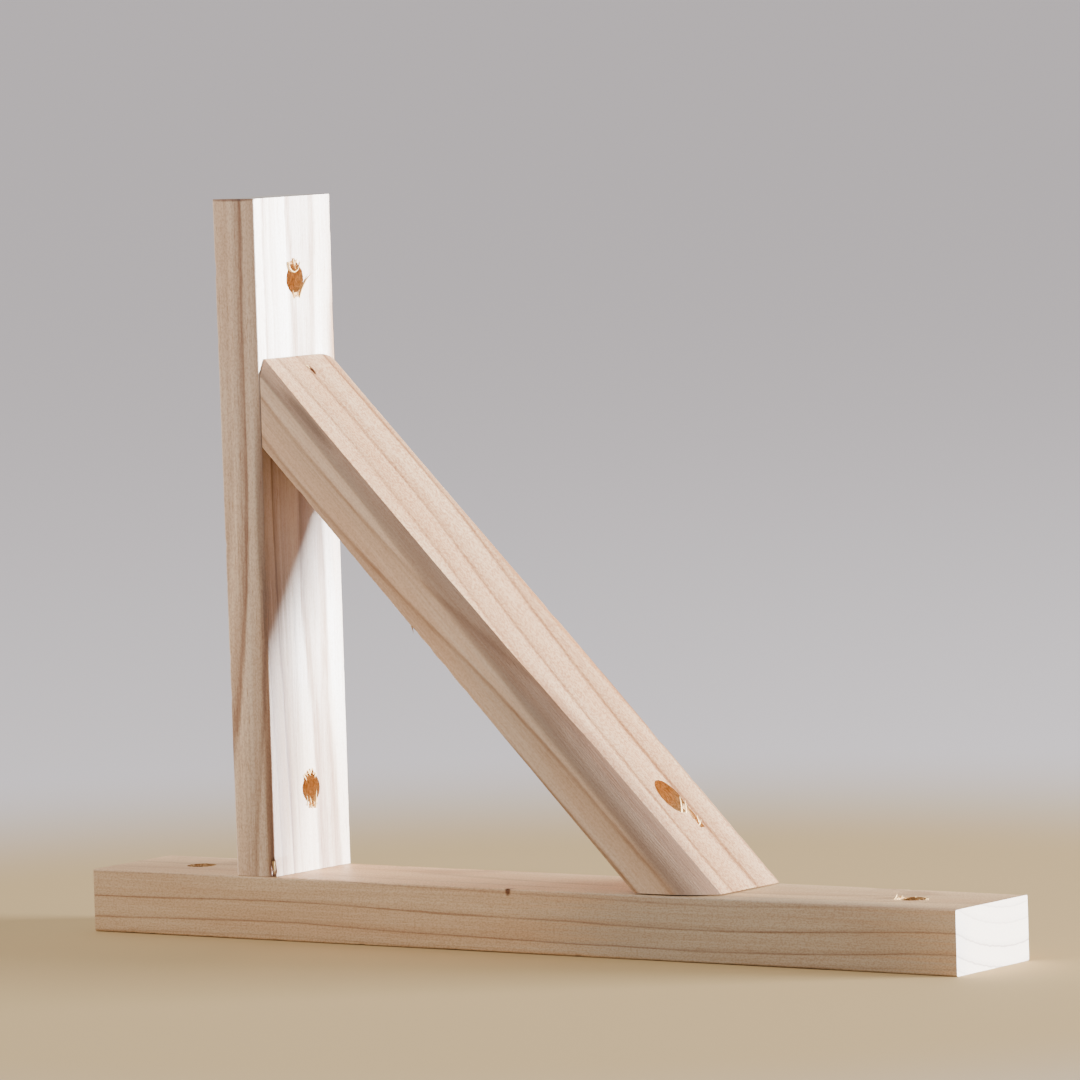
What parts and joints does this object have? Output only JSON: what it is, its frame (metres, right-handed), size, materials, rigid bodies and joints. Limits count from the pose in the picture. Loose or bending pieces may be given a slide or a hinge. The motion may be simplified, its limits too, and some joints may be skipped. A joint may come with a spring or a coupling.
{
  "type": "lamp bracket",
  "caption": "Wooden lamp bracket: a wall plate with screw holes, an arm square to it with cord holes, and a brace at 45 degrees.",
  "frame": {"origin": "middle of the wall plate's underside, the face that goes against the wall", "axes": "+X along the wall plate, from the short tail behind the arm towards the brace's foot; +Y across to the bracket's back; +Z out along the arm, away from the wall plate"},
  "size_m": [0.308, 0.0409, 0.2232],
  "materials": {
    "wall_plate_wood": "planed bare softwood",
    "arm_wood": "planed bare softwood",
    "brace_wood": "planed bare softwood, worn arrises"
  },
  "bodies": {
    "root": {"wall_plate": "wall_plate_wood", "arm": "arm_wood", "brace": "brace_wood"}
  },
  "joints": []
}
